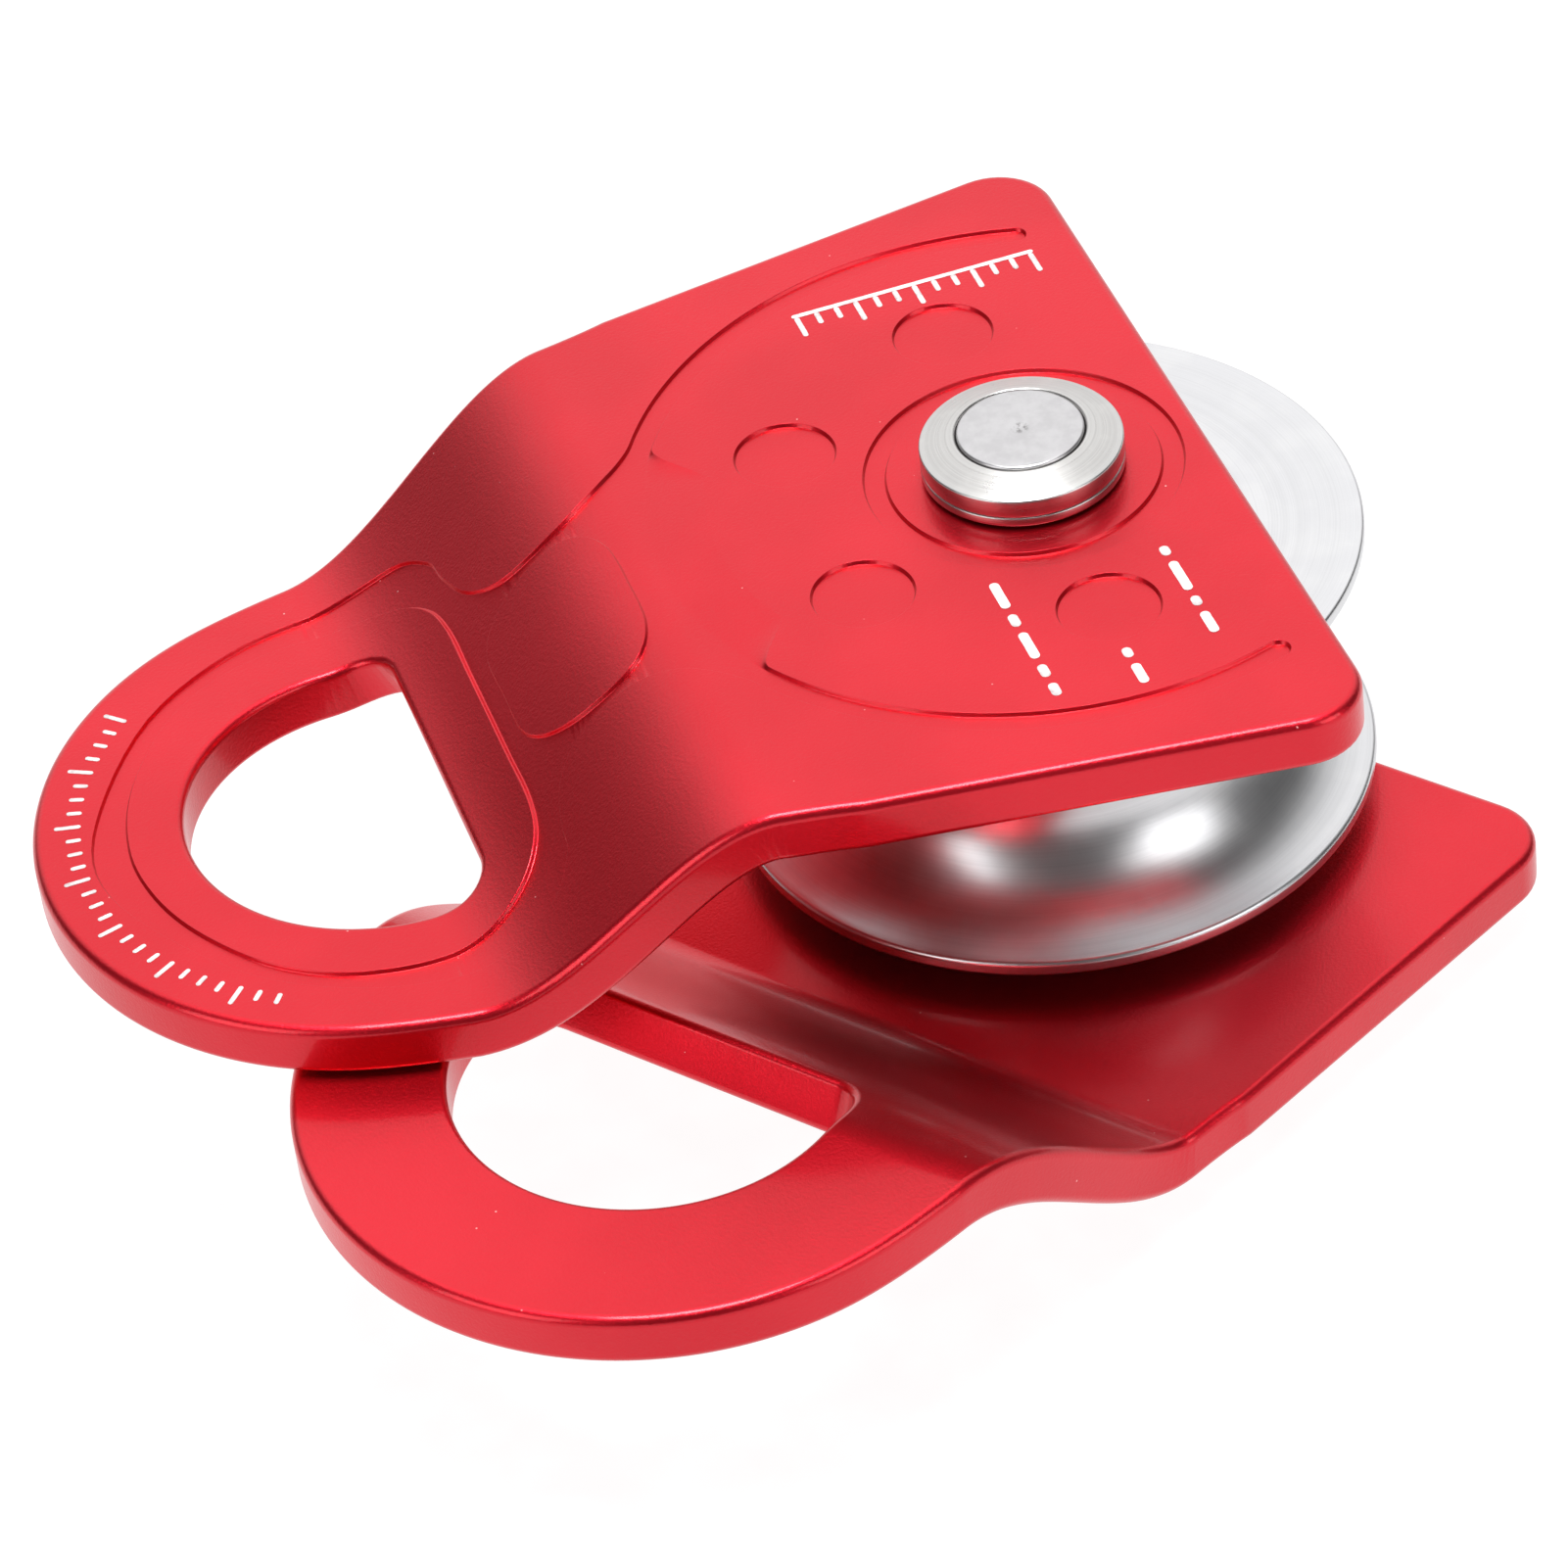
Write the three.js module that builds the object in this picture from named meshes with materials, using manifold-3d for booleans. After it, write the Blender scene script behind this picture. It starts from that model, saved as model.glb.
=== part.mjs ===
// Swing-cheek rope pulley, in millimetres, +Z up along the axle.
// The origin is the middle of the axle's lower end face, and +X points halfway between the two eyes.
import * as THREE from "three";
import { mergeVertices } from "three/addons/utils/BufferGeometryUtils.js";
import Module from "manifold-3d";

const wasm = await Module();
wasm.setup();

// ---- Driving dimensions ----

// Cheeks
const CHEEK_THICKNESS = 4;
const CHEEK_OVER_SHEAVE = 11; // from the sheave's rim to the cheek's widest side
const CHEEK_OVER_GROOVE = 1.625; // from the groove round the axle to the straight end edge
const CHEEK_CORNER = 4.5; // corner radius of the end edge
const SHOULDER_BEFORE_JOGGLE = 5.2; // where the tapered side turns into the neck
const SHOULDER_TAPER = 4.65; // what each side loses in width up to there
const SHOULDER_PULL = 8.9; // how far the neck's curve runs straight on from the shoulder
const SHOULDER_PULL_ANGLE = THREE.MathUtils.degToRad(16.7);
const EYE_WALL = 10.7;
const EYE_BLEND_ANGLE = THREE.MathUtils.degToRad(68); // where the neck meets the eye's arc
const EYE_PULL = 10; // how far the neck's curve runs straight on from there
const EYE_HOLE_RADIUS = 14;
const EYE_HOLE_FLAT = 4.8; // from the eye's centre to the hole's straight side
const EYE_HOLE_CORNER = 3;
const EYE_GAP = 0.4; // between the two eyes when they lie over each other
const RIM_TO_JOGGLE = 3.7; // from the sheave's rim to the start of the step in to the eye
const JOGGLE_LENGTH = 22.1;
const JOGGLE_PAST_EYE = 0.5; // how far the step runs on past the eye's centre
const REST_SPLAY = THREE.MathUtils.degToRad(18.75); // each cheek, either side of +X

// Shallow marks in the cheeks' outer faces
const GROOVE_DEPTH = 0.3;
const GROOVE_WIDTH = 1.75;
const COLLAR_TO_GROOVE = 3.3; // from the collar to the centre line of the groove round the axle
const RIM_TO_ARC_GROOVE = 4.2; // from the sheave's rim to the arc groove's centre line
const ARC_GROOVE_SPAN = [24, 110].map(THREE.MathUtils.degToRad);
const DIMPLE_RADIUS = 3.7;
const GROOVE_TO_DIMPLES = 6.65; // from the groove round the axle to the dimples' centres
const DIMPLE_ANGLES = [-90, -30, 30, 90].map(THREE.MathUtils.degToRad);

// Sheave
const SHEAVE_WIDTH = 20.8;
const SHEAVE_WALL = 3.7; // between the bearings and the bottom of the rope groove
const SHEAVE_RIM = 1.1; // width of each flange at its rim
const ROPE_GROOVE_DEPTH = 7.8;
const BEARING_RECESS = 0.35; // how far each bearing lies below the sheave's face
const SHEAVE_SHOULDER = 1.5; // height of the inner shoulder between the bearings

// Axle and washers
const PIN_RADIUS = 4.5;
const PIN_OVER_COLLAR = 0.1;
const PIN_CHAMFER = 0.3;
const COLLAR_WALL = 2.7;
const COLLAR_SIDE = 1.4; // height of the collar's straight side
const COLLAR_BEVEL = 0.85; // height of its bevel
const COLLAR_EDGE = 0.25; // chamfer of its bore
const OUTER_WASHER = 0.7; // thickness
const CHEEK_TO_SHEAVE = 2.1;
const RING_OVER_WASHER = 0.15; // how far an inner ring stands out round its thrust washer
const RING_OVER_SPACER = 0.45; // and round the spacer between the bearings

// Bearings
const BEARING_RADIUS = 12;
const BEARING_WIDTH = 7;
const BALL_COUNT = 7;
const BALL_RADIUS = 1.95;
const BALL_IN_RACE = 0.625; // how deep a ball lies in each ring
const RACE_GAP = 0.15;
const CAGE_TO_RING = 0.625;
const CAGE_TO_LEDGE = 0.4;
const SHIELD_THICKNESS = 0.4;
const SHIELD_SEAT = { depth: 0.7, height: 0.6 }; // step in the outer ring that holds a shield

// Clearances
const RUN_GAP = 0.3; // between pieces that turn on each other
const FIT_GAP = 0.05; // between pieces fixed to each other

// Facets
const FINE = 48;
const MEDIUM = 32;
const BEARING_FACETS = 28;
const BALL_FACETS = [10, 6];
const CURVE_FACETS = 10;
const RACE_FACETS = 4;
const OVERRUN = 1; // how far a cutting shape stands out of what it cuts

// ---- Derived sizes and places ----

// Outwards from the axle
const BORE_RADIUS = PIN_RADIUS + RUN_GAP;
const PRESSED_BORE = PIN_RADIUS + FIT_GAP;
const PITCH_RADIUS = (PRESSED_BORE + BEARING_RADIUS) / 2; // of the balls' centres
const INNER_RING_RADIUS = PITCH_RADIUS - BALL_RADIUS + BALL_IN_RACE;
const OUTER_RING_BORE = PITCH_RADIUS + BALL_RADIUS - BALL_IN_RACE;
const RACE_RADIUS = BALL_RADIUS + RACE_GAP;
const CAGE_WALL = OUTER_RING_BORE - INNER_RING_RADIUS - 2 * CAGE_TO_RING;
const THRUST_WASHER_RADIUS = INNER_RING_RADIUS - RING_OVER_WASHER;
const SPACER_RADIUS = INNER_RING_RADIUS - RING_OVER_SPACER;
const COLLAR_RADIUS = PIN_RADIUS + COLLAR_WALL;
const SHEAVE_RADIUS = BEARING_RADIUS + SHEAVE_WALL + ROPE_GROOVE_DEPTH;
const AXLE_GROOVE_RADIUS = COLLAR_RADIUS + COLLAR_TO_GROOVE; // to its centre line
const ARC_GROOVE_RADIUS = SHEAVE_RADIUS + RIM_TO_ARC_GROOVE; // to its centre line
const DIMPLE_PITCH_RADIUS = AXLE_GROOVE_RADIUS + GROOVE_TO_DIMPLES;

// Along and across a cheek
const CHEEK_END = AXLE_GROOVE_RADIUS + GROOVE_WIDTH / 2 + CHEEK_OVER_GROOVE;
const CHEEK_HALF_WIDTH = SHEAVE_RADIUS + CHEEK_OVER_SHEAVE;
const JOGGLE_START = SHEAVE_RADIUS + RIM_TO_JOGGLE;
const SHOULDER = {
  along: JOGGLE_START - SHOULDER_BEFORE_JOGGLE,
  across: CHEEK_HALF_WIDTH - SHOULDER_TAPER,
};
const EYE_CENTRE = JOGGLE_START + JOGGLE_LENGTH - JOGGLE_PAST_EYE;
const EYE_RADIUS = EYE_HOLE_RADIUS + EYE_WALL;

// Heights over the sheave's middle plane
const SHEAVE_HALF = SHEAVE_WIDTH / 2;
const BEARING_OUT = SHEAVE_HALF - BEARING_RECESS;
const BEARING_IN = BEARING_OUT - BEARING_WIDTH;
const CAGE_WIDTH = BEARING_WIDTH - 2 * (SHIELD_SEAT.height + CAGE_TO_LEDGE);
const CHEEK_IN = SHEAVE_HALF + CHEEK_TO_SHEAVE;
const CHEEK_OUT = CHEEK_IN + CHEEK_THICKNESS;
const JOGGLE_DEPTH = CHEEK_IN - EYE_GAP / 2;
const OUTER_WASHER_IN = CHEEK_OUT + RUN_GAP;
const COLLAR_IN = OUTER_WASHER_IN + OUTER_WASHER + FIT_GAP;
const COLLAR_RIM = COLLAR_IN + COLLAR_SIDE;
const COLLAR_CREST = COLLAR_RIM + COLLAR_BEVEL;
const MIDDLE = COLLAR_CREST + PIN_OVER_COLLAR; // the middle plane's own height over the foot of the axle

// ---- Materials ----

const RED = { color: 0xc8202e, metalness: 0.85, roughness: 0.35 };
const ALUMINIUM = { color: 0xd4d5d8, metalness: 1, roughness: 0.3 };
const STAINLESS = { color: 0xbfc0c2, metalness: 1, roughness: 0.22 };
const BEARING_STEEL = { color: 0xa9abad, metalness: 1, roughness: 0.15 };
const CAGE_NYLON = { color: 0x2b2c2e, metalness: 0, roughness: 0.6 };

// ---- Solids ----

// A closed geometry as a solid that can be cut and joined.
function solid(geometry) {
  const bare = new THREE.BufferGeometry().setAttribute("position", geometry.getAttribute("position"));
  bare.setIndex(geometry.index);
  const merged = mergeVertices(bare);
  return new wasm.Manifold(
    new wasm.Mesh({
      numProp: 3,
      vertProperties: new Float32Array(merged.attributes.position.array),
      triVerts: new Uint32Array(merged.index.array),
    }),
  );
}

function mesh(name, body, look) {
  const { vertProperties, triVerts } = body.getMesh();
  const indexed = new THREE.BufferGeometry()
    .setAttribute("position", new THREE.BufferAttribute(vertProperties, 3))
    .setIndex(new THREE.BufferAttribute(triVerts, 1));
  const geometry = indexed.toNonIndexed();
  geometry.computeVertexNormals();
  const made = new THREE.Mesh(geometry, new THREE.MeshStandardMaterial(look));
  made.name = name;
  return made;
}

// A ring or disc turned about Z. The profile is [radius, height] pairs, anticlockwise.
function turned(profile, facets = FINE) {
  const points = profile.map(([radius, height]) => new THREE.Vector2(radius, height));
  return solid(new THREE.LatheGeometry(points, facets).rotateX(Math.PI / 2));
}

function tube(inner, outer, low, high, facets = FINE) {
  const profile = [
    [inner, low],
    [outer, low],
    [outer, high],
    [inner, high],
    [inner, low],
  ];
  return turned(profile, facets);
}

// Points of an arc in a turned profile.
function arcPoints(radius, height, size, from, to, count) {
  return Array.from({ length: count + 1 }, (_, i) => {
    const angle = from + ((to - from) * i) / count;
    return [radius + size * Math.cos(angle), height + size * Math.sin(angle)];
  });
}

function prism(shape, low, high) {
  const settings = { depth: high - low, bevelEnabled: false, curveSegments: CURVE_FACETS };
  return solid(new THREE.ExtrudeGeometry(shape, settings).translate(0, 0, low));
}

// ---- Cheek, lying with its outer face up and the sheave's middle plane at height 0 ----

function eyeHole() {
  const corner = EYE_CENTRE - EYE_HOLE_FLAT + EYE_HOLE_CORNER;
  const reach = EYE_HOLE_RADIUS - EYE_HOLE_CORNER;
  const side = Math.sqrt(reach ** 2 - (corner - EYE_CENTRE) ** 2);
  const turn = Math.atan2(side, corner - EYE_CENTRE);
  const hole = new THREE.Path();
  hole.absarc(EYE_CENTRE, 0, EYE_HOLE_RADIUS, -turn, turn);
  hole.absarc(corner, side, EYE_HOLE_CORNER, turn, Math.PI);
  hole.absarc(corner, -side, EYE_HOLE_CORNER, Math.PI, 2 * Math.PI - turn);
  return hole;
}

// The tapered side from the end corner to the shoulder, as the angle it makes with the length.
function sideSlope() {
  const run = SHOULDER.along + CHEEK_END - CHEEK_CORNER;
  return Math.atan2(CHEEK_HALF_WIDTH - SHOULDER.across, run);
}

function cheekOutline() {
  const slope = sideSlope();
  const corner = {
    x: CHEEK_CORNER - CHEEK_END,
    y: CHEEK_HALF_WIDTH - CHEEK_CORNER,
  };
  const blend = {
    x: EYE_CENTRE + EYE_RADIUS * Math.cos(EYE_BLEND_ANGLE),
    y: EYE_RADIUS * Math.sin(EYE_BLEND_ANGLE),
  };
  const leave = {
    x: SHOULDER.along + SHOULDER_PULL * Math.cos(SHOULDER_PULL_ANGLE),
    y: SHOULDER.across - SHOULDER_PULL * Math.sin(SHOULDER_PULL_ANGLE),
  };
  const arrive = {
    x: blend.x - EYE_PULL * Math.sin(EYE_BLEND_ANGLE),
    y: blend.y + EYE_PULL * Math.cos(EYE_BLEND_ANGLE),
  };
  const outline = new THREE.Shape();
  outline.absarc(EYE_CENTRE, 0, EYE_RADIUS, -EYE_BLEND_ANGLE, EYE_BLEND_ANGLE);
  outline.bezierCurveTo(arrive.x, arrive.y, leave.x, leave.y, SHOULDER.along, SHOULDER.across);
  outline.absarc(corner.x, corner.y, CHEEK_CORNER, Math.PI / 2 - slope, Math.PI);
  outline.absarc(corner.x, -corner.y, CHEEK_CORNER, Math.PI, 1.5 * Math.PI + slope);
  outline.lineTo(SHOULDER.along, -SHOULDER.across);
  outline.bezierCurveTo(leave.x, -leave.y, arrive.x, -arrive.y, blend.x, -blend.y);
  return outline;
}

// The plate seen from its edge: flat over the sheave, then stepped in to the eye. The inner face's
// step comes a little sooner, which keeps the wall even.
function cheekStep() {
  const lead = CHEEK_THICKNESS * Math.tan(Math.atan2(JOGGLE_DEPTH, JOGGLE_LENGTH) / 2);
  const third = JOGGLE_LENGTH / 3;
  const start = -CHEEK_END - OVERRUN;
  const end = EYE_CENTRE + EYE_RADIUS + OVERRUN;
  const inner = { from: JOGGLE_START - lead, high: CHEEK_IN, low: CHEEK_IN - JOGGLE_DEPTH };
  const outer = { from: JOGGLE_START, high: CHEEK_OUT, low: CHEEK_OUT - JOGGLE_DEPTH };
  const step = new THREE.Shape();
  step.moveTo(start, inner.high);
  step.lineTo(inner.from, inner.high);
  step.bezierCurveTo(
    ...[inner.from + third, inner.high],
    ...[inner.from + 2 * third, inner.low],
    ...[inner.from + JOGGLE_LENGTH, inner.low],
  );
  step.lineTo(end, inner.low);
  step.lineTo(end, outer.low);
  step.lineTo(outer.from + JOGGLE_LENGTH, outer.low);
  step.bezierCurveTo(
    ...[outer.from + 2 * third, outer.low],
    ...[outer.from + third, outer.high],
    ...[outer.from, outer.high],
  );
  step.lineTo(start, outer.high);
  const half = CHEEK_HALF_WIDTH + OVERRUN;
  const settings = { depth: 2 * half, bevelEnabled: false, curveSegments: CURVE_FACETS };
  return solid(new THREE.ExtrudeGeometry(step, settings).translate(0, 0, -half).rotateX(Math.PI / 2));
}

// What is taken off the outer face inside a flat outline.
function shallowCut(shape) {
  return prism(shape, CHEEK_OUT - GROOVE_DEPTH, CHEEK_OUT + OVERRUN);
}

function arcGroove(from, to) {
  const radius = ARC_GROOVE_RADIUS;
  const half = GROOVE_WIDTH / 2;
  const shape = new THREE.Shape();
  shape.absarc(0, 0, radius + half, from, to);
  shape.absarc(radius * Math.cos(to), radius * Math.sin(to), half, to, to + Math.PI);
  shape.absarc(0, 0, radius - half, to, from, true);
  shape.absarc(radius * Math.cos(from), radius * Math.sin(from), half, from + Math.PI, from + 2 * Math.PI);
  return shallowCut(shape);
}

function dimple(angle) {
  const shape = new THREE.Shape();
  const x = DIMPLE_PITCH_RADIUS * Math.cos(angle);
  const y = DIMPLE_PITCH_RADIUS * Math.sin(angle);
  shape.absarc(x, y, DIMPLE_RADIUS, 0, 2 * Math.PI);
  return shallowCut(shape);
}

function cheek() {
  const outline = cheekOutline();
  outline.holes.push(eyeHole());
  const half = GROOVE_WIDTH / 2;
  const [near, far] = ARC_GROOVE_SPAN;
  const cuts = [
    turned([[0, 0], [BORE_RADIUS, 0], [BORE_RADIUS, 2 * CHEEK_OUT], [0, 2 * CHEEK_OUT]], MEDIUM),
    tube(
      AXLE_GROOVE_RADIUS - half,
      AXLE_GROOVE_RADIUS + half,
      CHEEK_OUT - GROOVE_DEPTH,
      CHEEK_OUT + OVERRUN,
    ),
    arcGroove(near, far),
    arcGroove(-far, -near),
    ...DIMPLE_ANGLES.map(dimple),
  ];
  const plate = prism(outline, -CHEEK_OUT, 2 * CHEEK_OUT).intersect(cheekStep());
  return cuts.reduce((body, cut) => body.subtract(cut), plate);
}

// ---- Sheave ----

function sheave() {
  const rim = SHEAVE_HALF - SHEAVE_RIM;
  const size = (rim ** 2 + ROPE_GROOVE_DEPTH ** 2) / (2 * ROPE_GROOVE_DEPTH);
  const centre = SHEAVE_RADIUS - ROPE_GROOVE_DEPTH + size;
  const spread = Math.atan2(rim, centre - SHEAVE_RADIUS);
  const seat = BEARING_RADIUS + FIT_GAP;
  const shoulder = BEARING_RADIUS - SHEAVE_SHOULDER;
  const inside = BEARING_IN - FIT_GAP;
  return turned([
    [seat, -SHEAVE_HALF],
    [SHEAVE_RADIUS, -SHEAVE_HALF],
    ...arcPoints(centre, 0, size, Math.PI + spread, Math.PI - spread, CURVE_FACETS),
    [SHEAVE_RADIUS, SHEAVE_HALF],
    [seat, SHEAVE_HALF],
    [seat, inside],
    [shoulder, inside],
    [shoulder, -inside],
    [seat, -inside],
    [seat, -SHEAVE_HALF],
  ]);
}

// ---- Axle, collars and washers ----

function axlePin() {
  return turned(
    [
      [0, -MIDDLE],
      [PIN_RADIUS - PIN_CHAMFER, -MIDDLE],
      [PIN_RADIUS, PIN_CHAMFER - MIDDLE],
      [PIN_RADIUS, MIDDLE - PIN_CHAMFER],
      [PIN_RADIUS - PIN_CHAMFER, MIDDLE],
      [0, MIDDLE],
    ],
    MEDIUM,
  );
}

function collar() {
  return turned(
    [
      [PRESSED_BORE, COLLAR_IN],
      [COLLAR_RADIUS, COLLAR_IN],
      [COLLAR_RADIUS, COLLAR_RIM],
      [PRESSED_BORE + COLLAR_EDGE, COLLAR_CREST],
      [PRESSED_BORE, COLLAR_CREST - COLLAR_EDGE],
      [PRESSED_BORE, COLLAR_IN],
    ],
    MEDIUM,
  );
}

function outerWasher() {
  return tube(PRESSED_BORE, COLLAR_RADIUS, OUTER_WASHER_IN, OUTER_WASHER_IN + OUTER_WASHER, MEDIUM);
}

function thrustWasher() {
  return tube(PRESSED_BORE, THRUST_WASHER_RADIUS, BEARING_OUT + FIT_GAP, CHEEK_IN - RUN_GAP, MEDIUM);
}

function bearingSpacer() {
  return tube(PRESSED_BORE, SPACER_RADIUS, FIT_GAP - BEARING_IN, BEARING_IN - FIT_GAP, MEDIUM);
}

// ---- Ball bearing, about its own middle plane ----

// Half the angle of the race's arc that a ring's shoulder leaves open.
function raceSpread(shoulderRadius) {
  return Math.acos(Math.abs(shoulderRadius - PITCH_RADIUS) / RACE_RADIUS);
}

function innerRing() {
  const half = BEARING_WIDTH / 2;
  const spread = raceSpread(INNER_RING_RADIUS);
  return turned(
    [
      [PRESSED_BORE, -half],
      [INNER_RING_RADIUS, -half],
      ...arcPoints(PITCH_RADIUS, 0, RACE_RADIUS, Math.PI + spread, Math.PI - spread, RACE_FACETS),
      [INNER_RING_RADIUS, half],
      [PRESSED_BORE, half],
      [PRESSED_BORE, -half],
    ],
    BEARING_FACETS,
  );
}

function outerRing() {
  const half = BEARING_WIDTH / 2;
  const spread = raceSpread(OUTER_RING_BORE);
  const seat = OUTER_RING_BORE + SHIELD_SEAT.depth;
  const ledge = half - SHIELD_SEAT.height;
  return turned(
    [
      [seat, -half],
      [BEARING_RADIUS, -half],
      [BEARING_RADIUS, half],
      [seat, half],
      [seat, ledge],
      [OUTER_RING_BORE, ledge],
      ...arcPoints(PITCH_RADIUS, 0, RACE_RADIUS, spread, -spread, RACE_FACETS),
      [OUTER_RING_BORE, -ledge],
      [seat, -ledge],
      [seat, -half],
    ],
    BEARING_FACETS,
  );
}

function shield(side) {
  const outer = OUTER_RING_BORE + SHIELD_SEAT.depth - FIT_GAP;
  const low = BEARING_WIDTH / 2 - SHIELD_SEAT.height + FIT_GAP;
  const high = low + SHIELD_THICKNESS;
  return side > 0
    ? tube(INNER_RING_RADIUS + RUN_GAP, outer, low, high, BEARING_FACETS)
    : tube(INNER_RING_RADIUS + RUN_GAP, outer, -high, -low, BEARING_FACETS);
}

function ballPlace(i) {
  const angle = (2 * Math.PI * i) / BALL_COUNT;
  return [PITCH_RADIUS * Math.cos(angle), PITCH_RADIUS * Math.sin(angle), 0];
}

function ball(i, radius = BALL_RADIUS) {
  const sphere = new THREE.SphereGeometry(radius, ...BALL_FACETS).rotateX(Math.PI / 2);
  return solid(sphere.translate(...ballPlace(i)));
}

function cage() {
  const ring = tube(
    PITCH_RADIUS - CAGE_WALL / 2,
    PITCH_RADIUS + CAGE_WALL / 2,
    -CAGE_WIDTH / 2,
    CAGE_WIDTH / 2,
    BEARING_FACETS,
  );
  return Array.from({ length: BALL_COUNT }, (_, i) => ball(i, RACE_RADIUS)).reduce(
    (body, pocket) => body.subtract(pocket),
    ring,
  );
}

function bearing(prefix) {
  const group = new THREE.Group();
  group.add(
    mesh(prefix + "_bearing_inner_ring", innerRing(), BEARING_STEEL),
    mesh(prefix + "_bearing_outer_ring", outerRing(), BEARING_STEEL),
    mesh(prefix + "_bearing_cage", cage(), CAGE_NYLON),
    mesh(prefix + "_bearing_outer_shield", shield(1), BEARING_STEEL),
    mesh(prefix + "_bearing_inner_shield", shield(-1), BEARING_STEEL),
  );
  for (let i = 0; i < BALL_COUNT; i++) {
    group.add(mesh(prefix + "_bearing_ball_" + (i + 1), ball(i), BEARING_STEEL));
  }
  group.position.z = BEARING_IN + BEARING_WIDTH / 2;
  return group;
}

// ---- Assembly ----

// Everything on one side of the sheave's middle plane.
function halfPulley(prefix) {
  const plate = mesh(prefix + "_cheek", cheek(), RED);
  plate.rotation.z = -REST_SPLAY;
  const group = new THREE.Group();
  group.add(
    plate,
    mesh(prefix + "_collar", collar(), STAINLESS),
    mesh(prefix + "_outer_washer", outerWasher(), STAINLESS),
    mesh(prefix + "_thrust_washer", thrustWasher(), STAINLESS),
    bearing(prefix),
  );
  return group;
}

const upper = halfPulley("upper");
const lower = halfPulley("lower");
lower.rotation.x = Math.PI;

const pulley = new THREE.Group();
pulley.add(
  mesh("axle_pin", axlePin(), STAINLESS),
  mesh("sheave", sheave(), ALUMINIUM),
  mesh("bearing_spacer", bearingSpacer(), STAINLESS),
  upper,
  lower,
);
pulley.position.z = MIDDLE;

const part = new THREE.Group();
part.add(pulley);

export default part;
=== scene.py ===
"""The looks of a swing-cheek rope pulley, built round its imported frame. Metres, +Z up along the axle."""
import math

import bmesh
import bpy
from mathutils import Matrix, Vector
from mathutils.geometry import interpolate_bezier


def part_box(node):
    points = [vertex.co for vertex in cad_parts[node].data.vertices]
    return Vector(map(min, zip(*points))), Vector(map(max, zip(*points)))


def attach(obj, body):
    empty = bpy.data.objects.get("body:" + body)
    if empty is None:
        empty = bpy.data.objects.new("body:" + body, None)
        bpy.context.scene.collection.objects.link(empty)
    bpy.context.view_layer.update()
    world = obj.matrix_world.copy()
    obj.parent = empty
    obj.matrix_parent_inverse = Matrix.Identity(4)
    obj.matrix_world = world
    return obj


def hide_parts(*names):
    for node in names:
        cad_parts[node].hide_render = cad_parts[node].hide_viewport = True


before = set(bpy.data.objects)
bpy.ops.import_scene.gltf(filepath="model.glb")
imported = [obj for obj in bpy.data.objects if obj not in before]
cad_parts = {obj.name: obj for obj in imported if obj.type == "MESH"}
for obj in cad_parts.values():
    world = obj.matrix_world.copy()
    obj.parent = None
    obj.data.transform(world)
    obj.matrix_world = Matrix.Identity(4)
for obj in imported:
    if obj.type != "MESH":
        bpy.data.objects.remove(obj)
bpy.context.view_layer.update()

MM = 0.001

# ---- Sizes in millimetres, with heights over the sheave's middle plane ----

FOOT, HEAD = (corner.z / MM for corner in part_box("axle_pin"))
MIDDLE = (FOOT + HEAD) / 2


def round_size(node):
    """Radius, lower height and upper height of a round CAD node."""
    low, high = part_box(node)
    return high.x / MM, low.z / MM - MIDDLE, high.z / MM - MIDDLE


PIN_RADIUS, _, PIN_END = round_size("axle_pin")
COLLAR_RADIUS, COLLAR_IN, COLLAR_CREST = round_size("upper_collar")
WASHER_RADIUS, WASHER_IN, WASHER_OUT = round_size("upper_outer_washer")
THRUST_RADIUS, THRUST_IN, THRUST_OUT = round_size("upper_thrust_washer")
SPACER_RADIUS, _, SPACER_END = round_size("bearing_spacer")
SHEAVE_RADIUS, _, SHEAVE_HALF = round_size("sheave")
RING_RADIUS, BEARING_IN, BEARING_OUT = round_size("upper_bearing_outer_ring")
INNER_RING_RADIUS, _, _ = round_size("upper_bearing_inner_ring")
SHIELD_RADIUS, SHIELD_IN, SHIELD_OUT = round_size("upper_bearing_outer_shield")
_, CAGE_IN, CAGE_OUT = round_size("upper_bearing_cage")

FIT_GAP = 0.05
RUN_GAP = 0.3
PRESSED_BORE = PIN_RADIUS + FIT_GAP

# Cheek, lying with its length along X from the axle to the eye
CHEEK_THICKNESS = 4
CHEEK_OUT = 16.5
CHEEK_IN = CHEEK_OUT - CHEEK_THICKNESS
CHEEK_END = -13
HALF_WIDTH = 34.5
END_CORNER = 4.5
SHOULDER = Vector((22, 29.85))
NECK_LEAVE = Vector((30.525, 27.293))
EYE_CENTRE = 48.8
EYE_RADIUS = 24.7
EYE_BLEND = math.radians(68)
NECK_PULL = 10
HOLE_RADIUS = 14
HOLE_FLAT = 44.9
HOLE_CORNER = 3
BORE = 4.8
STEP_START = 27.2
STEP_LENGTH = 22.1
STEP_DEPTH = 12.3
SPLAY = math.radians(18.75)

# Stamped marks in the cheek's outer face
STAMP_WALL = ((0.03, 0.012), (0.045, 0.075), (0.045, 0.125), (0.045, 0.075), (0.03, 0.013))
AXLE_CHANNEL = (9.625, 11.375)
DIMPLE_RADIUS = 3.7
DIMPLE_PITCH = 17.15
ARC_CHANNEL = (26.8, 28.6)
ARC_CHANNEL_END = math.radians(108.5)
STAMP_OVERLAP = 0.005
STAMP_DEPTH = sum(down for _, down in STAMP_WALL)
BEND_STRIPS = 56

# Bearings
PITCH_RADIUS = (PRESSED_BORE + RING_RADIUS) / 2
BALL_RADIUS = 1.95
BALL_COUNT = 7
RACE_RADIUS = 2.1
OUTER_RING_BORE = 9.6
CAGE_WALL = 1.4
SHIELD_BORE = INNER_RING_RADIUS + RUN_GAP

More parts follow.
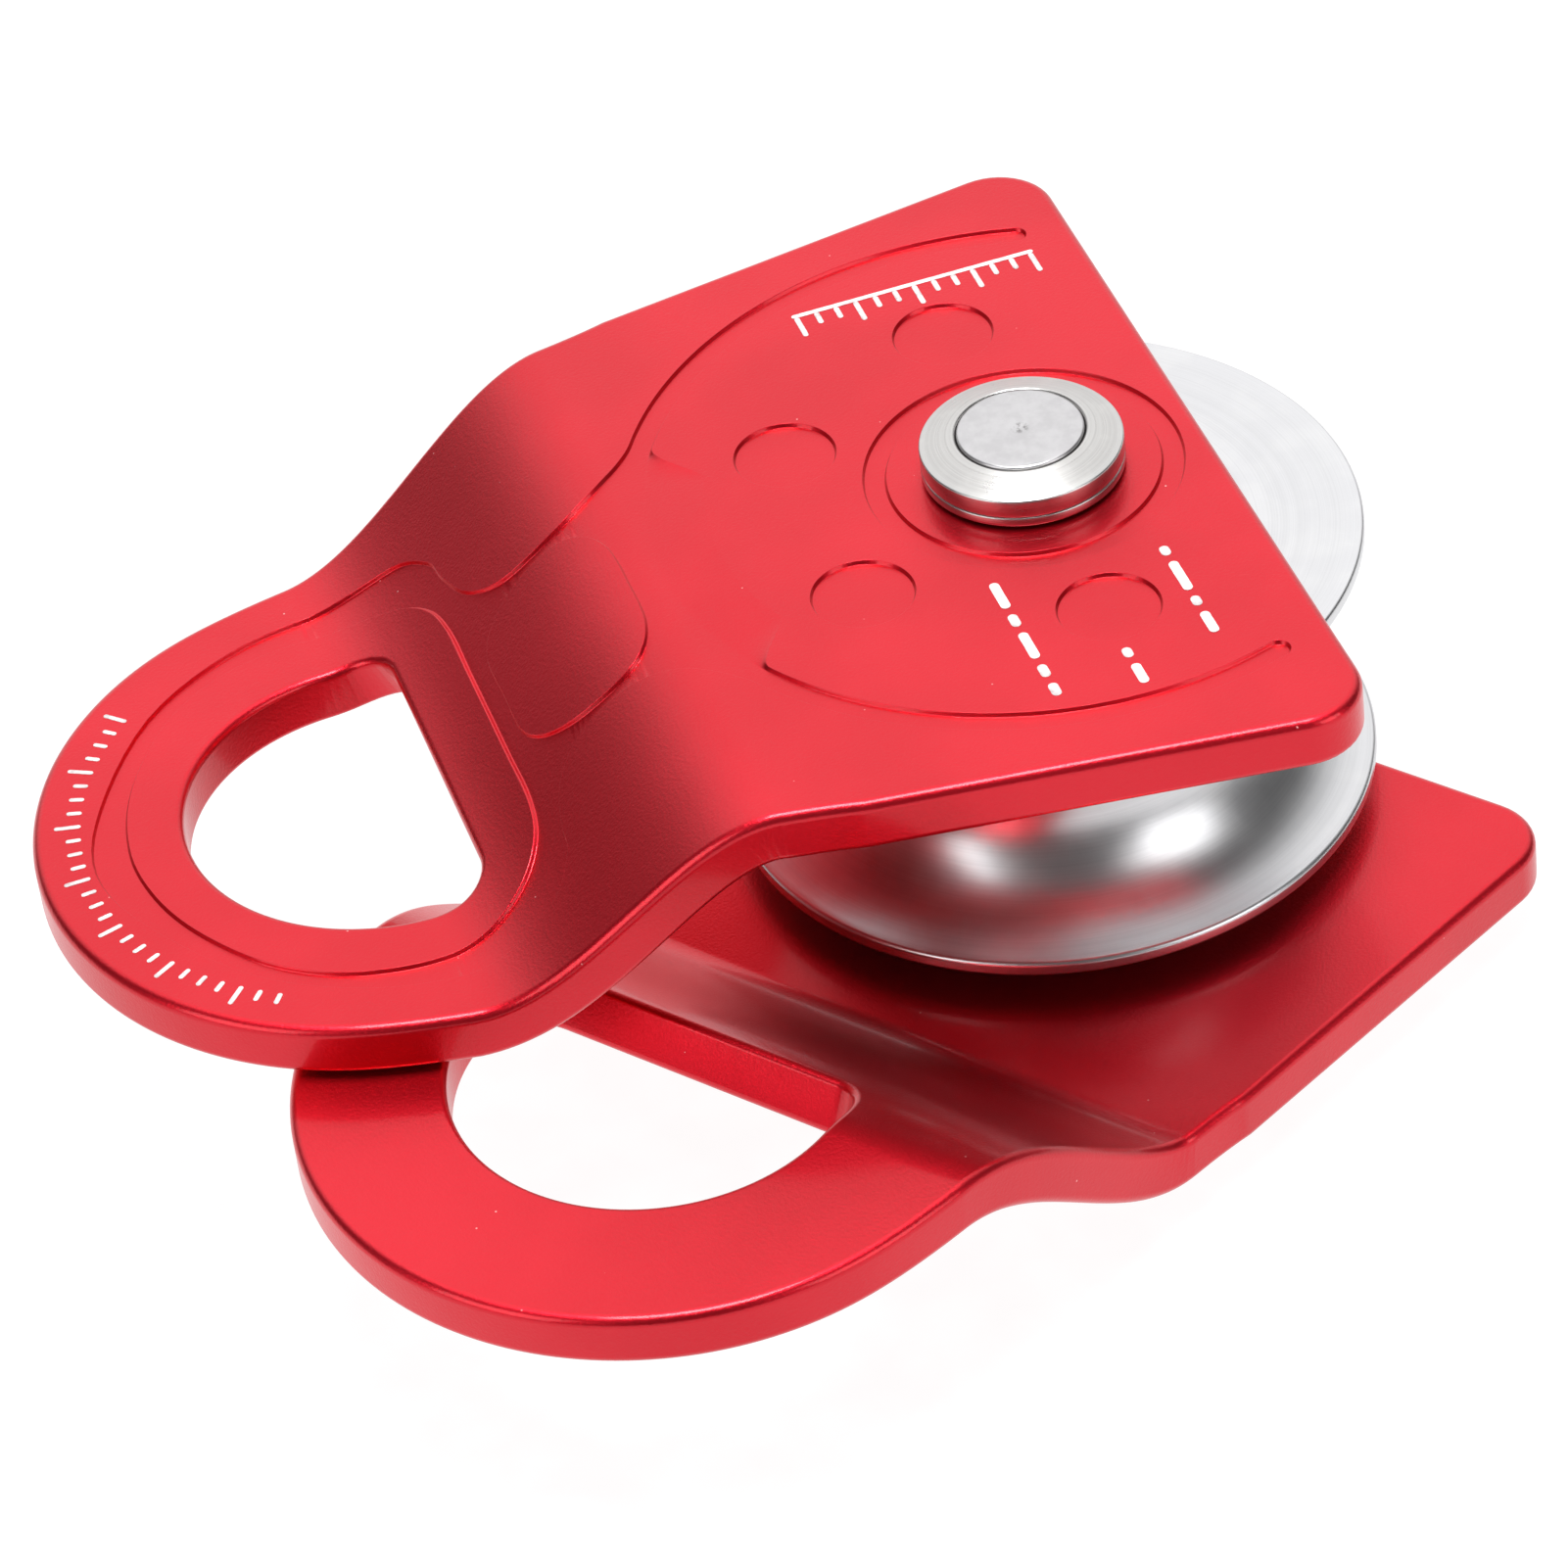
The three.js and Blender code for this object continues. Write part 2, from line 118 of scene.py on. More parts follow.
# Sheave
SHEAVE_RIM = 1.1
ROPE_GROOVE_DEPTH = 7.8
SHEAVE_SHOULDER = 1.5


# ---- Shader nodes ----

class Wire:
    """A shader socket that adds and multiplies like a number. Any other node comes from node()."""

    def __init__(self, tree, socket=None):
        self.tree = tree
        self.socket = socket

    def node(self, kind, settings=None, output=0, **sockets):
        """A node of that kind, its settings set first and then its sockets.

        A socket is named with _ for a space, or i and its number.
        """
        made = self.tree.nodes.new(kind)
        for name, value in (settings or {}).items():
            setattr(made, name, value)
        for name, value in sockets.items():
            numbered = name[0] == "i" and name[1:].isdigit()
            target = made.inputs[int(name[1:]) if numbered else name.replace("_", " ")]
            if isinstance(value, Wire):
                self.tree.links.new(value.socket, target)
            else:
                target.default_value = value
        return Wire(self.tree, made.outputs[output])

    def math(self, operation, *values):
        sockets = {f"i{i}": value for i, value in enumerate(values)}
        return self.node("ShaderNodeMath", {"operation": operation}, **sockets)

    def __add__(self, other):
        return self.math("ADD", self, other)

    __radd__ = __add__

    def __sub__(self, other):
        return self.math("SUBTRACT", self, other)

    def __rsub__(self, other):
        return self.math("SUBTRACT", other, self)

    def __mul__(self, other):
        return self.math("MULTIPLY", self, other)

    __rmul__ = __mul__

    def between(self, low, high):
        """0 below low and 1 above high, smooth between, or the other way round if low is larger."""
        return self.node(
            "ShaderNodeMapRange",
            {"interpolation_type": "SMOOTHSTEP"},
            Value=self, From_Min=min(low, high), From_Max=max(low, high),
            To_Min=0 if low < high else 1, To_Max=1 if low < high else 0,
        )

    def scaled(self, *factors):
        """This vector with its parts multiplied."""
        return self.node("ShaderNodeVectorMath", {"operation": "MULTIPLY"}, i0=self, i1=factors)

    def turned(self, angle):
        """This vector turned about Z."""
        return self.node("ShaderNodeMapping", None, Vector=self, Rotation=(0, 0, angle))

    def noise(self, scale, detail=2, roughness=0.5):
        return self.node(
            "ShaderNodeTexNoise", None, Vector=self, Scale=scale, Detail=detail, Roughness=roughness,
        )

    def spots(self, scale, output=0):
        """Distance from the nearest of many scattered points, or that point's random colour."""
        return self.node("ShaderNodeTexVoronoi", None, output, Vector=self, Scale=scale)

    def mixed(self, first, second):
        """Between two colours by this factor."""
        settings = {"data_type": "RGBA"}
        return self.node("ShaderNodeMix", settings, 2, i0=self, i6=first, i7=second)


def material(name, paint, **constants):
    """A Principled material. paint(place) gets the place in millimetres and returns what varies."""
    made = bpy.data.materials.new(name)
    made.use_nodes = True
    tree = made.node_tree
    shader = tree.nodes["Principled BSDF"]
    place = Wire(tree).node("ShaderNodeTexCoord", None, 3).scaled(1 / MM, 1 / MM, 1 / MM)
    varying = paint(place)
    for socket, value in constants.items():
        shader.inputs[socket.replace("_", " ")].default_value = value
    height = varying.pop("Height", None)
    if height is not None:
        varying["Normal"] = height.node("ShaderNodeBump", None, Distance=MM, Height=height)
    for socket, value in varying.items():
        tree.links.new(value.socket, shader.inputs[socket.replace("_", " ")])
    return made


def specks(place, scale, share, size):
    """1 on small scattered dots. Only that share of the scattered points has one."""
    chosen = place.node("ShaderNodeSeparateColor", None, 0, Color=place.spots(scale, 1))
    near = place.spots(scale).between(size * scale, size * scale * 0.5)
    return chosen.between(share, share * 0.8) * near


def scratches(place, angle, length, pitch, share):
    """1 on thin straight lines, about that long and that far apart, broken up by a wide noise."""
    lines = place.turned(angle).scaled(1 / length, 1 / pitch, 1 / length).noise(1, 3, 0.6)
    return lines.between(1 - share, 1 - share * 0.75)


def red_anodised(place):
    cloud = place.noise(0.05, 3)
    peel = place.noise(4.2, 3, 0.6)
    grain = place.noise(12, 2)
    dust = specks(place, 0.5, 0.3, 0.09)
    marks = scratches(place, 0.6, 9, 0.25, 0.25) * place.noise(0.3).between(0.52, 0.6)
    red = cloud.between(0.35, 0.65).mixed((0.62, 0.0095, 0.022, 1), (0.69, 0.013, 0.028, 1))
    red = (dust * 0.75).mixed(red, (0.95, 0.5, 0.5, 1))
    return {
        "Base_Color": (marks * 0.2).mixed(red, (0.95, 0.3, 0.3, 1)),
        "Roughness": 0.32 + grain * 0.1 + marks * 0.1,
        "Height": peel * 0.028 + grain * 0.003 + dust * 0.012,
    }


def turned_lines(place, fine=9, coarse=2.2):
    """Rings cut by a lathe tool, as a height from 0 to 1."""
    radius = place.node("ShaderNodeVectorMath", {"operation": "LENGTH"}, 1, i0=place.scaled(1, 1, 0))
    height = place.node("ShaderNodeSeparateXYZ", None, 2, Vector=place)
    across = place.node("ShaderNodeCombineXYZ", None, X=radius, Y=height, Z=0)
    return across.noise(fine, 2, 0.7) * 0.6 + across.noise(coarse, 1) * 0.4


def turned_steel(place):
    lines = turned_lines(place)
    wear = place.noise(0.5, 4, 0.6)
    grey = lines.between(0.3, 0.7).mixed((0.5, 0.49, 0.48, 1), (0.63, 0.62, 0.61, 1))
    return {
        "Base_Color": (wear.between(0.5, 0.75) * 0.35).mixed(grey, (0.7, 0.69, 0.67, 1)),
        "Roughness": 0.2 + wear * 0.1 + lines * 0.08,
        "Height": lines * 0.006 + place.noise(8, 2) * 0.0015,
    }


def lapped_steel(place):
    """Smooth and satin, with small dull marks and a rough spot on the axis where the bar was centred."""
    radius = place.node("ShaderNodeVectorMath", {"operation": "LENGTH"}, 1, i0=place.scaled(1, 1, 0))
    spot = radius.between(0.75, 0.35) * place.noise(3, 3).between(0.4, 0.6)
    wear = place.noise(0.8, 4, 0.6)
    fine = scratches(place, 0.5, 2.5, 0.06, 0.3) * wear.between(0.45, 0.6)
    grey = wear.between(0.35, 0.65).mixed((0.54, 0.53, 0.54, 1), (0.6, 0.59, 0.6, 1))
    return {
        "Base_Color": (spot * 0.8).mixed(grey, (0.22, 0.21, 0.21, 1)),
        "Roughness": 0.3 + wear * 0.08 + fine * 0.1,
        "Height": place.noise(6, 2) * 0.002 - spot * 0.02 + fine * 0.001,
    }


def bright_aluminium(place):
    lines = turned_lines(place, 7, 1.6)
    handling = place.noise(0.35, 3, 0.5)
    scuffs = scratches(place, 0.9, 3, 0.12, 0.35) * place.noise(0.25).between(0.42, 0.58)
    pale = handling.between(0.4, 0.7).mixed((0.69, 0.69, 0.705, 1), (0.72, 0.72, 0.73, 1))
    pale = (lines.between(0.4, 0.65) * 0.3).mixed(pale, (0.54, 0.54, 0.55, 1))
    return {
        "Base_Color": (scuffs * 0.5).mixed(pale, (0.76, 0.76, 0.77, 1)),
        "Roughness": 0.26 + handling * 0.05 + scuffs * 0.12 + lines * 0.06,
        "Height": lines * 0.005 + scuffs * 0.002,
    }


def ground_steel(place):
    lines = turned_lines(place, 16, 5)
    oil = place.noise(0.7, 3, 0.6)
    return {
        "Base_Color": oil.between(0.4, 0.7).mixed((0.52, 0.53, 0.54, 1), (0.62, 0.62, 0.62, 1)),
        "Roughness": 0.14 + oil * 0.12 + lines * 0.05,
        "Height": lines * 0.002,
    }


def moulded_nylon(place):
    flow = place.noise(0.6, 3)
    grain = place.noise(9, 2)
    return {
        "Base_Color": flow.between(0.35, 0.7).mixed((0.012, 0.012, 0.014, 1), (0.03, 0.03, 0.033, 1)),
        "Roughness": 0.5 + grain * 0.18,
        "Height": grain * 0.006,
    }


def etched_white(place):
    grain = place.noise(7, 3, 0.6)
    worn = place.noise(1.1, 4, 0.65)
    white = worn.between(0.3, 0.6).mixed((0.72, 0.62, 0.62, 1), (0.93, 0.92, 0.92, 1))
    return {
        "Base_Color": (grain.between(0.62, 0.75) * 0.5).mixed(white, (0.8, 0.25, 0.28, 1)),
        "Roughness": 0.5 + grain * 0.2,
        "Height": grain * 0.006,
    }


def pale_floor(place):
    fibre = place.noise(0.2, 4)
    return {
        "Emission_Color": fibre.between(0.3, 0.7).mixed((0.98, 0.98, 0.98, 1), (1, 1, 1, 1)),
        "Base_Color": fibre.between(0.3, 0.7).mixed((0.06, 0.06, 0.06, 1), (0.07, 0.07, 0.07, 1)),
        "Roughness": 0.7 + fibre * 0.1,
    }


RED = material("red_anodised", red_anodised, Metallic=0.95, Coat_Weight=0.45, Coat_Roughness=0.12)
STEEL = material("turned_steel", turned_steel, Metallic=1)
PIN_STEEL = material("lapped_steel", lapped_steel, Metallic=1)
ALUMINIUM = material("bright_aluminium", bright_aluminium, Metallic=1)
BEARING_STEEL = material("ground_steel", ground_steel, Metallic=1)
NYLON = material("moulded_nylon", moulded_nylon)
WHITE = material("etched_white", etched_white)
FLOOR = material("pale_floor", pale_floor, Emission_Strength=0.97)


# ---- Making pieces ----

def piece(name, bm, look, body, slot, *replaced):
    """A finished piece from a bmesh in millimetres over the middle plane, riding on its body."""
    bm.transform(Matrix.Scale(MM, 4) @ Matrix.Translation((0, 0, MIDDLE)))
    mesh = bpy.data.meshes.new(name)
    bm.to_mesh(mesh)
    bm.free()
    mesh.polygons.foreach_set("use_smooth", [True] * len(mesh.polygons))
    mesh.materials.append(look)
    made = bpy.data.objects.new(name, mesh)
    bpy.context.scene.collection.objects.link(made)
    made.modifiers.new("weighted_normals", "WEIGHTED_NORMAL").weight = 80
    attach(made, body)
    if replaced:
        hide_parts(*replaced)
    return made


def flat_face(bm, points, height=0):
    return bm.faces.new([bm.verts.new((x, y, height)) for x, y in points])


def arc(centre, radius, start, end, steps):
    """Points along an arc, both ends included. Angles in radians."""
    angles = [start + (end - start) * i / steps for i in range(steps + 1)]
    return [Vector((centre[0] + radius * math.cos(a), centre[1] + radius * math.sin(a))) for a in angles]


def raise_faces(bm, faces, height):
    """Extrudes flat faces into a closed solid that tall."""
    made = bmesh.ops.extrude_face_region(bm, geom=faces, use_keep_orig=True)
    top = [v for v in made["geom"] if isinstance(v, bmesh.types.BMVert)]
    bmesh.ops.translate(bm, verts=top, vec=(0, 0, height))
    bmesh.ops.recalc_face_normals(bm, faces=bm.faces)


def round_edges(bm, edges, size, segments):
    bmesh.ops.bevel(
        bm, geom=list(edges), offset=size, offset_type="OFFSET", segments=segments,
        profile=0.5, affect="EDGES", clamp_overlap=False, material=-1,
    )


def cut_away(bm, cutter):
    """bm with the cutter's solid taken off. Both are used up."""
    objects = []
    for shape in (bm, cutter):
        mesh = bpy.data.meshes.new("cutting")
        shape.to_mesh(mesh)
        shape.free()
        objects.append(bpy.data.objects.new("cutting", mesh))
        bpy.context.scene.collection.objects.link(objects[-1])
    boolean = objects[0].modifiers.new("cut", "BOOLEAN")
    boolean.object = objects[1]
    boolean.operation = "DIFFERENCE"
    boolean.solver = "EXACT"
    result = bmesh.new()
    result.from_object(objects[0], bpy.context.evaluated_depsgraph_get())
    for used in objects:
        bpy.data.meshes.remove(used.data)
    return result


# ---- Cheek ----

def half_outline():
    """One half of the cheek's outline and holes, from the end edge's middle round the eye and back."""
    slope = math.atan2(HALF_WIDTH - SHOULDER.y, SHOULDER.x - CHEEK_END - END_CORNER)
    blend = Vector((math.cos(EYE_BLEND), math.sin(EYE_BLEND)))
    arrive = blend * EYE_RADIUS + Vector((-blend.y, blend.x)) * NECK_PULL + Vector((EYE_CENTRE, 0))
    meet = blend * EYE_RADIUS + Vector((EYE_CENTRE, 0))
    corner = (CHEEK_END + END_CORNER, HALF_WIDTH - END_CORNER)
    neck = interpolate_bezier(SHOULDER, NECK_LEAVE, arrive, meet, 40)
    reach = HOLE_RADIUS - HOLE_CORNER
    inset = HOLE_FLAT + HOLE_CORNER - EYE_CENTRE
    side = math.sqrt(reach**2 - inset**2)
    turn = math.atan2(side, inset)
    return [
        Vector((CHEEK_END, 0)),
        *arc(corner, END_CORNER, math.pi, math.pi / 2 - slope, 12),
        *neck[:-1],
        *arc((EYE_CENTRE, 0), EYE_RADIUS, EYE_BLEND, 0, 36),
        *arc((EYE_CENTRE, 0), HOLE_RADIUS, 0, turn, 36)[:-1],
        *arc((EYE_CENTRE + inset, side), HOLE_CORNER, turn, math.pi, 10),
        Vector((HOLE_FLAT, 0)),
        *arc((0, 0), BORE, 0, math.pi, 32),
    ]


# The channel between the raised fields of neck and eye: its outer side, the neck's field and the eye's
CHANNEL_OUTER = (
    (23.99, 15.58), (25.1, 13.9), (26.9, 12.1), (29.3, 10.4), (32.3, 9.3), (36.1, 9.4), (38.4, 11.5),
    (39.4, 14.9), (39.8, 17.4), (42.1, 20.2), (47.6, 21.1), (54.9, 19.6), (62.1, 14.9), (67.6, 6.8),
    (69.6, 0),
)
NECK_FIELD = (
    (39.1, 0), (39.1, 3.9), (38.4, 5.9), (37, 7.2), (35.2, 7.9), (33, 8.05), (31.4, 7.6), (30.2, 6.4),
    (29.5, 4.6), (29.3, 2.5), (29.3, 0),
)
EYE_FIELD = (
    (66.75, 0), (66.2, 4.2), (64.9, 7.9), (62.8, 11.5), (60.4, 14.4), (57.4, 16.6), (54.2, 17.9),
    (50.2, 18.5), (46.1, 17.9), (43, 16.1), (41.2, 13.4), (40.6, 9.8), (40.6, 5), (40.6, 0),
)


def smooth_through(points, steps=6):
    """A smooth line through points, square to the cheek's middle line where it ends on it."""
    points = [Vector(p) for p in points]
    before, after = (
        Vector((beside.x, -beside.y)) if end.y == 0 else end
        for end, beside in (points[:2], points[:-3:-1])
    )
    padded = [before] + points + [after]
    line = []
    for before, start, end, after in zip(padded, padded[1:], padded[2:], padded[3:]):
        handles = start + (end - before) / 6, end - (after - start) / 6
        line += interpolate_bezier(start, *handles, end, steps)[:-1]
    return line + [points[-1]]


def stamp(bm, outline):
    """Adds a cutter that presses a channel of this outline into the outer face, with rounded walls."""
    face = flat_face(bm, outline, CHEEK_OUT + STAMP_OVERLAP)
    face.normal_update()
    if face.normal.z > 0:
        face.normal_flip()
    lid = bmesh.ops.extrude_face_region(bm, geom=[face], use_keep_orig=True)
    top = [v for v in lid["geom"] if isinstance(v, bmesh.types.BMVert)]
    bmesh.ops.translate(bm, verts=top, vec=(0, 0, 1))
    for inward, down in STAMP_WALL:
        bmesh.ops.inset_individual(bm, faces=[face], thickness=inward, depth=-down, use_even_offset=True)


def fade_channel(bm):
    """Slopes the arc channel's inner wall away where it opens into the neck's channel."""
    inner, floor = ARC_CHANNEL[0], CHEEK_OUT - STAMP_DEPTH
    opens_at, fades_over, slope_width, near = 30, 8, 4.4, 0.3
    for v in bm.verts:
        radius, angle = v.co.xy.length, math.degrees(abs(math.atan2(v.co.y, v.co.x)))
        if abs(radius - inner) < near and angle < opens_at:
            share = min(1, (opens_at - angle) / fades_over)
            reach = slope_width * share * share * (3 - 2 * share) * (v.co.z - floor) / STAMP_DEPTH
            v.co.xy *= (radius - reach) / radius


def stamps():
    bm = bmesh.new()
    below = Vector((0, -1))
    inner, outer = ARC_CHANNEL
    centre = (inner + outer) / 2
    end = Vector((math.cos(ARC_CHANNEL_END), math.sin(ARC_CHANNEL_END))) * centre
    open_end = math.atan2(CHANNEL_OUTER[0][1], CHANNEL_OUTER[0][0])
    neck, eye = smooth_through(NECK_FIELD), smooth_through(EYE_FIELD)
    stamp(bm, [
        *arc((0, 0), inner, 0, ARC_CHANNEL_END, 150),
        *arc(end, (outer - inner) / 2, ARC_CHANNEL_END + math.pi, ARC_CHANNEL_END, 10)[1:-1],
        *arc((0, 0), outer, ARC_CHANNEL_END, open_end, 110)[:-1],
        *smooth_through(CHANNEL_OUTER),
        Vector((CHANNEL_OUTER[-1][0], 0)) + below, eye[0] + below,
        *eye,
        eye[-1] + below, neck[0] + below,
        *neck,
        neck[-1] + below, Vector((inner, 0)) + below,
    ])
    fade_channel(bm)
    inner, outer = AXLE_CHANNEL
    stamp(bm, arc((0, 0), inner, -0.1, math.pi + 0.1, 80) + arc((0, 0), outer, math.pi + 0.1, -0.1, 80))
    for angle in (math.radians(30), math.pi / 2):
        middle = (DIMPLE_PITCH * math.cos(angle), DIMPLE_PITCH * math.sin(angle))
        stamp(bm, arc(middle, DIMPLE_RADIUS, 0, 2 * math.pi, 56)[:-1])
    bmesh.ops.recalc_face_normals(bm, faces=bm.faces)
    return bm


def on_rim(edge):
    """Which border of the half cheek an edge runs along: outline, hole, bore or None."""
    a, b = (v.co for v in edge.verts)
    if abs(a.z - b.z) > 1e-4 or max(a.y, b.y) < 1e-4:
        return None
    middle = (a + b).xy / 2
    if middle.length < BORE + 0.1:
        return "bore"
    return "hole" if (middle - Vector((EYE_CENTRE, 0))).length < HOLE_RADIUS + 0.1 else "outline"


def bent(v):
    """Where a point of the flat cheek lies once the step in to the eye is bent, the thickness kept."""
    along = min(1, max(0, (v.x - STEP_START) / STEP_LENGTH))
    drop = STEP_DEPTH * along * along * (3 - 2 * along)
    lean = math.atan(6 * STEP_DEPTH / STEP_LENGTH * along * (1 - along))
    under = CHEEK_OUT - v.z
    return v.x - under * math.sin(lean), v.y, CHEEK_OUT - drop - under * math.cos(lean)


def cheek():
    bm = bmesh.new()
    raise_faces(bm, [flat_face(bm, half_outline(), CHEEK_IN)], CHEEK_THICKNESS)
    for border, height, size in (
        ("outline", CHEEK_OUT, 0.75), ("outline", CHEEK_IN, 0.7), ("hole", CHEEK_OUT, 0.6),
        ("hole", CHEEK_IN, 0.5), ("bore", CHEEK_OUT, 0.3), ("bore", CHEEK_IN, 0.3),
    ):
        rim = [e for e in bm.edges if on_rim(e) == border and abs(e.verts[0].co.z - height) < 1e-4]
        round_edges(bm, rim, size, 6)
    bm = cut_away(bm, stamps())
    middle_faces = [f for f in bm.faces if all(abs(v.co.y) < 1e-3 for v in f.verts)]
    bmesh.ops.delete(bm, geom=middle_faces, context="FACES")
    bmesh.ops.mirror(bm, geom=bm.verts[:] + bm.edges[:] + bm.faces[:], merge_dist=1e-3, axis="Y")
    bmesh.ops.remove_doubles(bm, verts=bm.verts, dist=1e-3)
    for i in range(BEND_STRIPS + 1):
        bmesh.ops.bisect_plane(
            bm, geom=bm.verts[:] + bm.edges[:] + bm.faces[:], dist=1e-4,
            plane_co=(STEP_START + i * STEP_LENGTH / BEND_STRIPS, 0, 0), plane_no=(1, 0, 0),
        )
    for v in bm.verts:
        v.co = bent(v.co)
    bmesh.ops.recalc_face_normals(bm, faces=bm.faces)
    bmesh.ops.rotate(bm, verts=bm.verts, matrix=Matrix.Rotation(-SPLAY, 3, "Z"))
    return bm


# ---- Turned pieces ----

def turned(profile, rounding=0.1, steps=96, segments=3):
    """A ring or disc turned about Z from a closed profile of (radius, height), its corners rounded."""
    bm = bmesh.new()
    line = [bm.verts.new((radius, 0, height)) for radius, height in profile]
    closed = profile[0][0] > 0
    pairs = zip(line, line[1:] + line[:1]) if closed else zip(line, line[1:])
    for pair in pairs:
        bm.edges.new(pair)
    corners = line if closed else line[1:-1]
    if rounding:
        bmesh.ops.bevel(
            bm, geom=[v for v in corners if sharp_corner(v)], offset=rounding, offset_type="OFFSET",
            segments=segments, profile=0.5, affect="VERTICES", clamp_overlap=True, material=-1,
        )
    bmesh.ops.spin(
        bm, geom=bm.verts[:] + bm.edges[:], axis=(0, 0, 1), cent=(0, 0, 0), dvec=(0, 0, 0),
        angle=2 * math.pi, steps=steps, use_merge=True,
    )
    bmesh.ops.remove_doubles(bm, verts=bm.verts, dist=1e-4)
    bmesh.ops.recalc_face_normals(bm, faces=bm.faces)
    return bm


def sharp_corner(v):
    """Whether a profile turns by more than a curve's own small steps at this point."""
    a, b = (e.other_vert(v).co - v.co for e in v.link_edges)
    return a.angle(-b) > math.radians(15)


def profile_arc(centre, radius, start, end, steps):
    return [tuple(p) for p in arc(centre, radius, start, end, steps)]


def tube(inner, outer, low, high, **settings):
    return turned([(inner, low), (outer, low), (outer, high), (inner, high)], **settings)


def sheave():
    rim = SHEAVE_HALF - SHEAVE_RIM
    size = (rim**2 + ROPE_GROOVE_DEPTH**2) / (2 * ROPE_GROOVE_DEPTH)
    centre = SHEAVE_RADIUS - ROPE_GROOVE_DEPTH + size
    spread = math.atan2(rim, centre - SHEAVE_RADIUS)
    seat = RING_RADIUS + FIT_GAP
    shoulder = RING_RADIUS - SHEAVE_SHOULDER
    inside = BEARING_IN - FIT_GAP
    return turned(
        [
            (seat, -SHEAVE_HALF),
            (SHEAVE_RADIUS, -SHEAVE_HALF),
            *profile_arc((centre, 0), size, math.pi + spread, math.pi - spread, 40),
            (SHEAVE_RADIUS, SHEAVE_HALF),
            (seat, SHEAVE_HALF),
            (seat, inside),
            (shoulder, inside),
            (shoulder, -inside),
            (seat, -inside),
        ],
        rounding=0.3, steps=180, segments=4,
    )


def axle_pin():
    edge, dome, pip, pip_depth = PIN_RADIUS, 0.04, 0.3, 0.02
    end = [
        (edge, PIN_END - dome), (edge * 0.75, PIN_END - dome * 0.4), (edge * 0.4, PIN_END - dome * 0.1),
        (pip, PIN_END), (pip * 0.6, PIN_END - pip_depth), (0, PIN_END - pip_depth),
    ]
    return turned([(r, -z) for r, z in reversed(end)] + end, rounding=0.2, steps=96)


def collar():
    bore, chamfer, side = PRESSED_BORE, 0.22, 1.4
    return turned(
        [
            (bore, COLLAR_IN),
            (COLLAR_RADIUS, COLLAR_IN),
            (COLLAR_RADIUS, COLLAR_IN + side),
            (bore + chamfer, COLLAR_CREST),
            (bore, COLLAR_CREST - chamfer),
        ],
        rounding=0.12, steps=120,
    )


# ---- Ball bearing ----

def race_spread(shoulder_radius):
    return math.acos(abs(shoulder_radius - PITCH_RADIUS) / RACE_RADIUS)


def bearing_rings():
    """The inner and outer ring, in the upper bearing's place."""
    middle = (BEARING_IN + BEARING_OUT) / 2
    half = (BEARING_OUT - BEARING_IN) / 2
    spread = race_spread(INNER_RING_RADIUS)
    inner_ring = turned(
        [
            (PRESSED_BORE, middle - half),
            (INNER_RING_RADIUS, middle - half),
            *profile_arc((PITCH_RADIUS, middle), RACE_RADIUS, math.pi + spread, math.pi - spread, 16),
            (INNER_RING_RADIUS, middle + half),
            (PRESSED_BORE, middle + half),
        ],
        rounding=0.15,
    )
    spread = race_spread(OUTER_RING_BORE)
    seat, ledge = SHIELD_RADIUS + FIT_GAP, half - 0.6
    outer_ring = turned(
        [
            (seat, middle - half),
            (RING_RADIUS, middle - half),
            (RING_RADIUS, middle + half),
            (seat, middle + half),
            (seat, middle + ledge),
            (OUTER_RING_BORE, middle + ledge),
            *profile_arc((PITCH_RADIUS, middle), RACE_RADIUS, spread, -spread, 16),
            (OUTER_RING_BORE, middle - ledge),
            (seat, middle - ledge),
        ],
        rounding=0.1,
    )
    return inner_ring, outer_ring


def shield(low, high):
    """A pressed ring with a shallow bead round its middle."""
    wide = SHIELD_RADIUS - SHIELD_BORE
    bead = 0.12
    return turned(
        [
            (SHIELD_BORE, low),
            (SHIELD_RADIUS, low),
            (SHIELD_RADIUS, high),
            (SHIELD_BORE + wide * 0.72, high),
            (SHIELD_BORE + wide * 0.66, high - bead),
            (SHIELD_BORE + wide * 0.34, high - bead),
            (SHIELD_BORE + wide * 0.28, high),
            (SHIELD_BORE, high),
        ],
        rounding=0.06, steps=96,
    )


def ball_place(i, height):
    angle = 2 * math.pi * i / BALL_COUNT
    return Matrix.Translation((PITCH_RADIUS * math.cos(angle), PITCH_RADIUS * math.sin(angle), height))


def add_ball(bm, i, height, radius):
    bmesh.ops.create_uvsphere(
        bm, u_segments=32, v_segments=20, radius=radius, matrix=ball_place(i, height),
    )


def ball(i, height):
    bm = bmesh.new()
    add_ball(bm, i, height, BALL_RADIUS)
    return bm


def cage(height):
    ring = tube(
        PITCH_RADIUS - CAGE_WALL / 2, PITCH_RADIUS + CAGE_WALL / 2, CAGE_IN, CAGE_OUT, rounding=0.2,
    )
    pockets = bmesh.new()
    for i in range(BALL_COUNT):
        add_ball(pockets, i, height, RACE_RADIUS)
    return cut_away(ring, pockets)


# ---- Etched marks: plain dashes and ticks on the flats of the cheek's outer face ----

